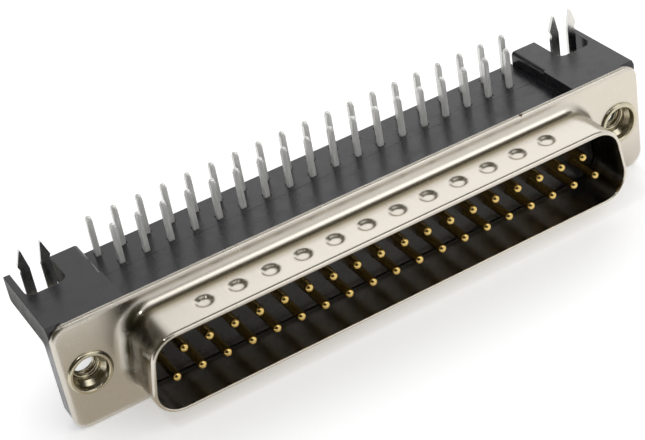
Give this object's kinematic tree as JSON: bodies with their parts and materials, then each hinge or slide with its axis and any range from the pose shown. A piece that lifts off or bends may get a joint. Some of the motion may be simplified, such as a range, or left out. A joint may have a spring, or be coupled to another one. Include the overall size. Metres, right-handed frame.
{
  "type": "electrical connector",
  "caption": "Right-angle D-type board connector: plated shell with a flange, pins in two rows, black housing with wings, threaded inserts, board locks and solder tails.",
  "frame": {"origin": "middle of the underside, on the outer face of the hood that the part lies on", "axes": "+X along the connector, -Y out of the mating face, +Z along the solder tails towards the board"},
  "size_m": [0.0694, 0.018, 0.0162],
  "materials": {
    "plated_shell": "bright tin plate",
    "black_plastic": "fine satin",
    "contact_metal": "gold-plated pins, tinned tails",
    "lock_metal": "bright tin plate",
    "insert_metal": "bright plate"
  },
  "bodies": {
    "root": {"front_shell": "plated_shell", "housing": "black_plastic", "tail_spacer": "black_plastic", "contact_01": "contact_metal", "contact_02": "contact_metal", "contact_03": "contact_metal", "contact_04": "contact_metal", "contact_05": "contact_metal", "contact_06": "contact_metal", "contact_07": "contact_metal", "contact_08": "contact_metal", "contact_09": "contact_metal", "contact_10": "contact_metal", "contact_11": "contact_metal", "contact_12": "contact_metal", "contact_13": "contact_metal", "contact_14": "contact_metal", "contact_15": "contact_metal", "contact_16": "contact_metal", "contact_17": "contact_metal", "contact_18": "contact_metal", "contact_19": "contact_metal", "contact_20": "contact_metal", "contact_21": "contact_metal", "contact_22": "contact_metal", "contact_23": "contact_metal", "contact_24": "contact_metal", "contact_25": "contact_metal", "contact_26": "contact_metal", "contact_27": "contact_metal", "contact_28": "contact_metal", "contact_29": "contact_metal", "contact_30": "contact_metal", "contact_31": "contact_metal", "contact_32": "contact_metal", "contact_33": "contact_metal", "contact_34": "contact_metal", "contact_35": "contact_metal", "contact_36": "contact_metal", "contact_37": "contact_metal", "board_lock_left": "lock_metal", "board_lock_right": "lock_metal", "threaded_insert_left": "insert_metal", "threaded_insert_right": "insert_metal"}
  },
  "joints": []
}
